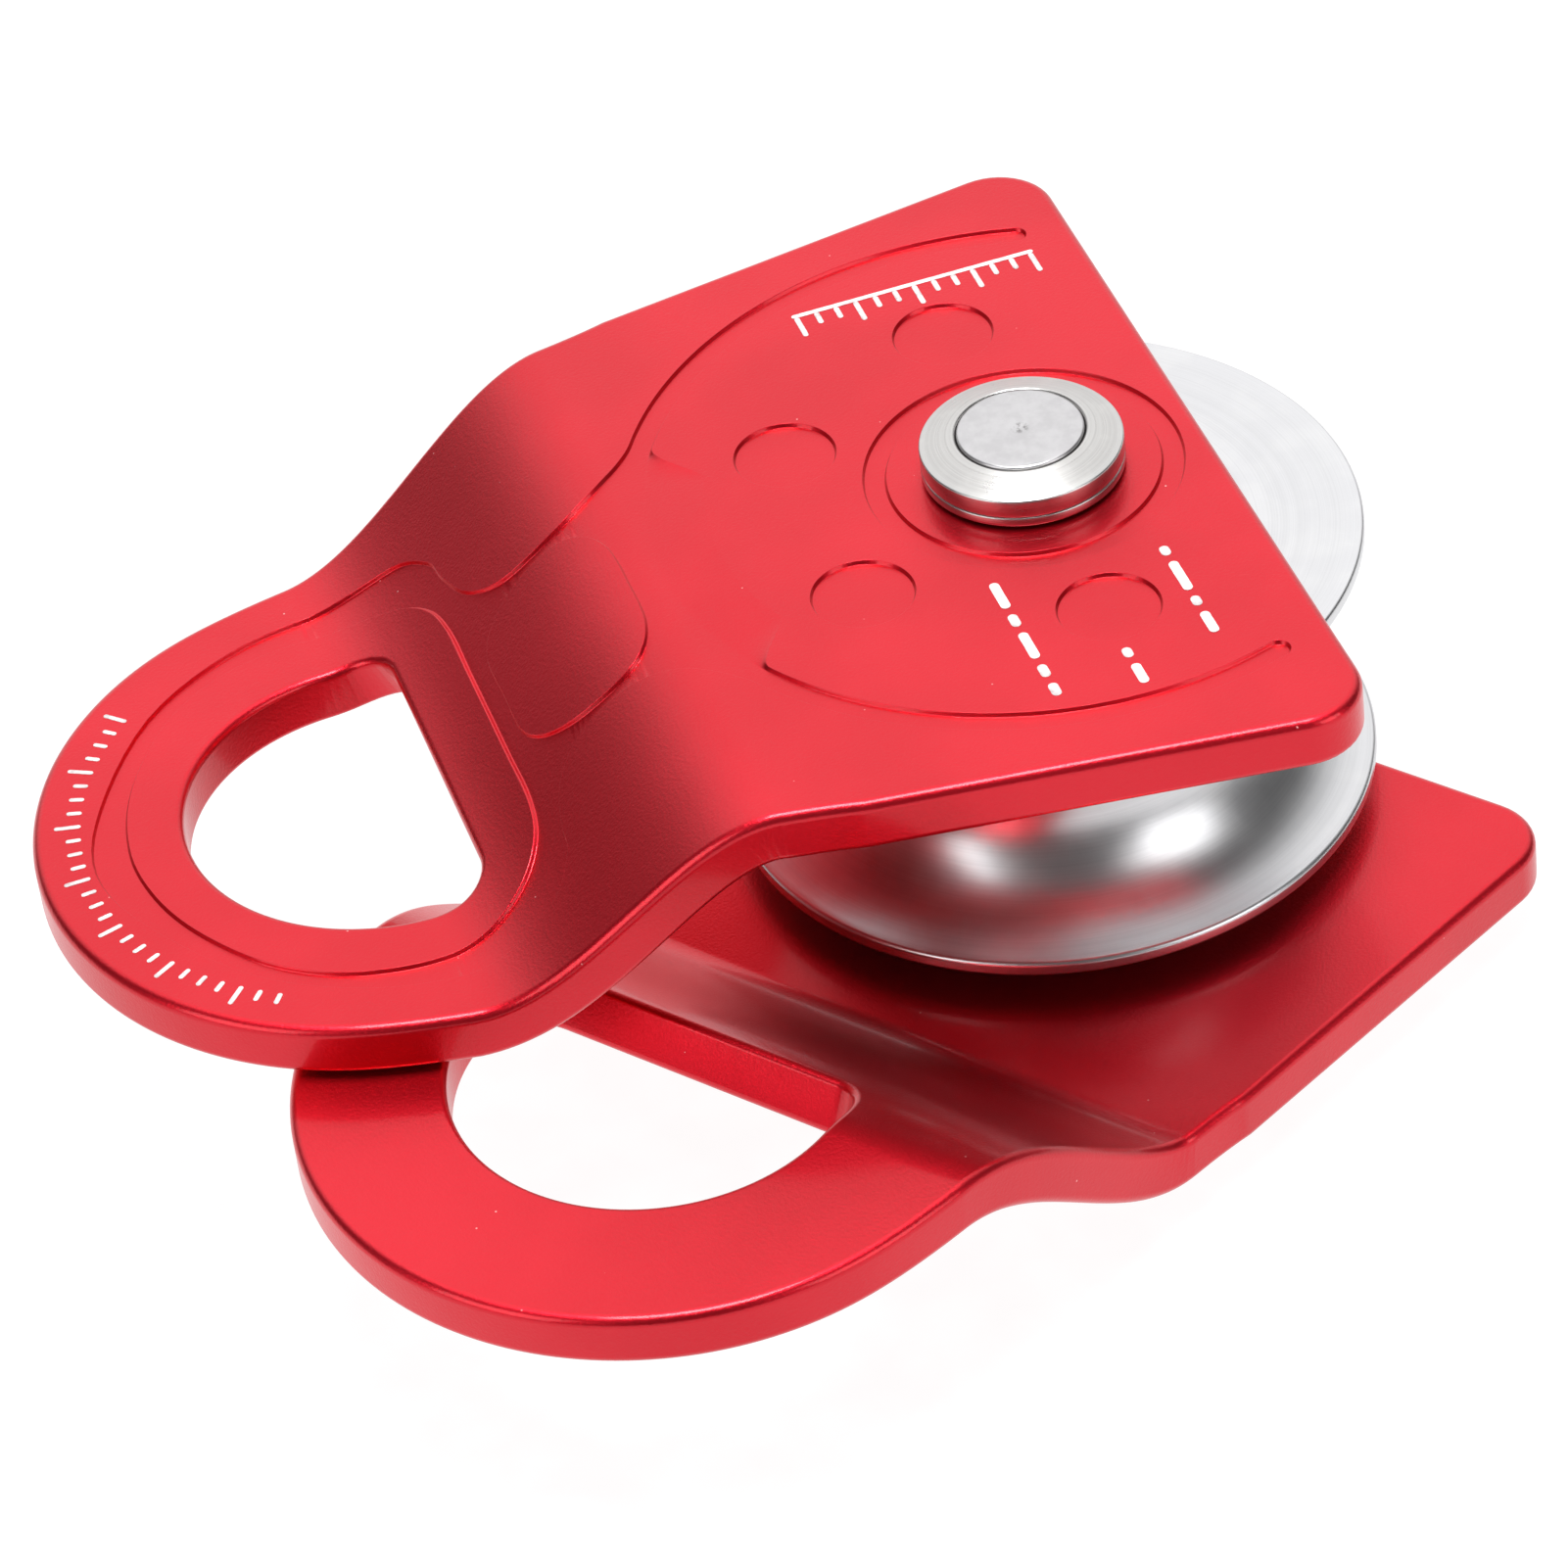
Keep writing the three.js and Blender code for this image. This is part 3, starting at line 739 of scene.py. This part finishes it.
def bar(bm, middle, length, width, angle, height, thickness=0.02):
    """A thin flat bar with rounded ends."""
    half = length / 2 - width / 2
    outline = [
        *arc((half, 0), width / 2, -math.pi / 2, math.pi / 2, 8),
        *arc((-half, 0), width / 2, math.pi / 2, 1.5 * math.pi, 8),
    ]
    face = flat_face(bm, outline)
    made = bmesh.ops.extrude_face_region(bm, geom=[face], use_keep_orig=True)["geom"]
    top = [v for v in made if isinstance(v, bmesh.types.BMVert)]
    bmesh.ops.translate(bm, verts=top, vec=(0, 0, thickness))
    place = Matrix.Translation((*middle, height)) @ Matrix.Rotation(angle, 4, "Z")
    bmesh.ops.transform(bm, matrix=place, verts=top + list(face.verts))


# Rows of dashes across the length: place along it, start, and each dash
DASH_ROWS = (
    (6.4, 11.4, (3.0, 1.4, 3.0, 1.4, 1.4)),
    (0.6, 21.8, (1.1, 2.2)),
    (-5.6, 12.6, (1.1, 3.4, 1.1, 2.4)),
)
DASH_WIDTH = 0.7
DASH_GAP = 0.75
# A ruler beside the axle and ticks round the eye, each with a taller tick at every few
RULER_SIDE, RULER_END, RULER_LENGTH = -23.8, 9, 18.6
RULER_PITCH, RULER_TICKS, RULER_WIDTH = 1.5, 13, 0.4
RULER_TALL, RULER_SHORT = 2.4, 1.4
EYE_TICKS, EYE_TICK_RADIUS, EYE_TICK_WIDTH = 27, 21.2, 0.36
EYE_TICK_START, EYE_TICK_PITCH = -46, 3.9
EYE_TICK_TALL, EYE_TICK_SHORT = 1.9, 1.1


def cheek_marks():
    bm = bmesh.new()
    disc = CHEEK_OUT + STAMP_OVERLAP
    eye = disc - STEP_DEPTH
    for across, place, dashes in DASH_ROWS:
        for dash in dashes:
            bar(bm, (across, place + dash / 2), dash, DASH_WIDTH, math.pi / 2, disc)
            place += dash + DASH_GAP
    for i in range(RULER_TICKS):
        tall = RULER_TALL if i % 3 == 0 else RULER_SHORT
        middle = (RULER_END - i * RULER_PITCH, RULER_SIDE + RULER_WIDTH / 2 + tall / 2)
        bar(bm, middle, tall, RULER_WIDTH, math.pi / 2, disc)
    bar(bm, (0, RULER_SIDE), RULER_LENGTH, RULER_WIDTH, 0, disc)
    for i in range(EYE_TICKS):
        angle = math.radians(EYE_TICK_START + i * EYE_TICK_PITCH)
        tall = EYE_TICK_TALL if i % 4 == 0 else EYE_TICK_SHORT
        reach = EYE_TICK_RADIUS + tall / 2
        middle = (EYE_CENTRE + reach * math.cos(angle), reach * math.sin(angle))
        bar(bm, middle, tall, EYE_TICK_WIDTH, angle, eye)
    bmesh.ops.recalc_face_normals(bm, faces=bm.faces)
    bmesh.ops.rotate(bm, verts=bm.verts, matrix=Matrix.Rotation(-SPLAY, 3, "Z"))
    return bm


# ---- Assembly ----

TURNED_OVER = Matrix.Rotation(math.pi, 4, "X")


def half_pieces(side):
    """Name, shape, finish, body, slot and CAD node of one half's pieces, in the upper half's place."""
    height = (BEARING_IN + BEARING_OUT) / 2
    inner_ring, outer_ring = bearing_rings()
    outer_washer = tube(PRESSED_BORE, WASHER_RADIUS, WASHER_IN, WASHER_OUT, rounding=0.12)
    thrust_washer = tube(PRESSED_BORE, THRUST_RADIUS, THRUST_IN, THRUST_OUT)
    outer_shield = shield(SHIELD_IN, SHIELD_OUT)
    inner_shield = shield(2 * height - SHIELD_OUT, 2 * height - SHIELD_IN)
    own_cheek, own_cage = side + "_cheek", side + "_cage"
    bright = (BEARING_STEEL, "sheave", "bearing_steel")
    return [
        ("cheek_plate", cheek(), RED, own_cheek, "anodised_cheek", "cheek"),
        ("cheek_marks", cheek_marks(), WHITE, own_cheek, None, None),
        ("collar_ring", collar(), STEEL, "axle", "stainless", "collar"),
        ("outer_washer_disc", outer_washer, STEEL, "axle", "stainless", "outer_washer"),
        ("thrust_washer_disc", thrust_washer, STEEL, "axle", "stainless", "thrust_washer"),
        ("inner_race", inner_ring, BEARING_STEEL, "axle", "bearing_steel", "bearing_inner_ring"),
        ("outer_race", outer_ring, *bright, "bearing_outer_ring"),
        ("outer_cover", outer_shield, *bright, "bearing_outer_shield"),
        ("inner_cover", inner_shield, *bright, "bearing_inner_shield"),
        ("ball_cage", cage(height), NYLON, own_cage, "cage_nylon", "bearing_cage"),
    ] + [
        (f"ball_{i}", ball(i - 1, height), BEARING_STEEL, own_cage, "bearing_steel", f"bearing_ball_{i}")
        for i in range(1, BALL_COUNT + 1)
    ]


def build():
    spacer = tube(PRESSED_BORE, SPACER_RADIUS, -SPACER_END, SPACER_END)
    piece("axle_pin_bar", axle_pin(), PIN_STEEL, "axle", "stainless", "axle_pin")
    piece("bearing_spacer_tube", spacer, STEEL, "axle", "stainless", "bearing_spacer")
    piece("sheave_wheel", sheave(), ALUMINIUM, "sheave", "sheave_aluminium", "sheave")
    for side in ("upper", "lower"):
        for name, bm, look, body, slot, node in half_pieces(side):
            if side == "lower":
                bm.transform(TURNED_OVER)
            nodes = [f"{side}_{node}"] if node else []
            piece(f"{side}_{name}", bm, look, body, slot, *nodes)


build()


# ---- Stage, light and camera, in metres ----

FLOOR_HALF = 4
SKY_TOWARDS = Vector((-0.43, -0.62, 0.66)).normalized()
SKY_EDGE = (0.54, 0.9)  # cosines of the angles from there at which the sky is dark and bright
SKY_DIM, SKY_BRIGHT = 0.07, 1.18
SOFTBOXES = (  # name, place, size and radiance
    ("overhead", (0.05, 0.06, 0.8), 0.32, 17),
    ("left", (0.62, 0.06, 0.3), 0.4, 2.4),
    ("right", (-0.18, 0.62, 0.3), 0.4, 2.4),
)
CAMERA_PLACE = (0.2166, 0.3067, 0.3259)
CAMERA_AXES = (  # to its right, up, and back away from the pulley
    (-0.7939, 0.5998, -0.0994), (-0.4505, -0.4706, 0.7588), (0.4084, 0.6472, 0.6438),
)
LENS, SENSOR = 155.3, 36


def stage_floor():
    bm = bmesh.new()
    bmesh.ops.create_grid(bm, x_segments=1, y_segments=1, size=FLOOR_HALF)
    mesh = bpy.data.meshes.new("floor")
    bm.to_mesh(mesh)
    bm.free()
    mesh.materials.append(FLOOR)
    floor = bpy.data.objects.new("floor", mesh)
    bpy.context.scene.collection.objects.link(floor)


def studio_dome():
    """A dim studio with one very wide soft light, high on the side away from the camera."""
    world = bpy.data.worlds.new("studio")
    world.use_nodes = True
    tree = world.node_tree
    start = Wire(tree)
    towards = start.node(
        "ShaderNodeVectorMath", {"operation": "DOT_PRODUCT"}, 1,
        i0=start.node("ShaderNodeTexCoord"), i1=SKY_TOWARDS,
    )
    seen = start.node("ShaderNodeLightPath")
    level = SKY_DIM + towards.between(*SKY_EDGE) * SKY_BRIGHT
    shown = seen.math("MAXIMUM", level, seen)
    background = tree.nodes["Background"]
    tree.links.new(shown.socket, background.inputs["Strength"])
    background.inputs["Color"].default_value = (1, 1, 1, 1)
    bpy.context.scene.world = world


def softbox(name, place, size, radiance):
    """A square light that faces the pulley."""
    light = bpy.data.lights.new(name, "AREA")
    light.size = size
    light.energy = radiance * math.pi * size**2
    made = bpy.data.objects.new(name, light)
    made.location = place
    made.rotation_euler = (-Vector(place)).to_track_quat("-Z", "Y").to_euler()
    bpy.context.scene.collection.objects.link(made)


def camera():
    data = bpy.data.cameras.new("camera")
    data.lens = LENS
    data.sensor_width = SENSOR
    data.clip_start = 0.01
    made = bpy.data.objects.new("camera", data)
    turn = Matrix(CAMERA_AXES).transposed()
    made.matrix_world = Matrix.Translation(CAMERA_PLACE) @ turn.to_4x4()
    bpy.context.scene.collection.objects.link(made)
    bpy.context.scene.camera = made


stage_floor()
studio_dome()
for box in SOFTBOXES:
    softbox(*box)
camera()
bpy.context.scene.view_settings.view_transform = "Standard"
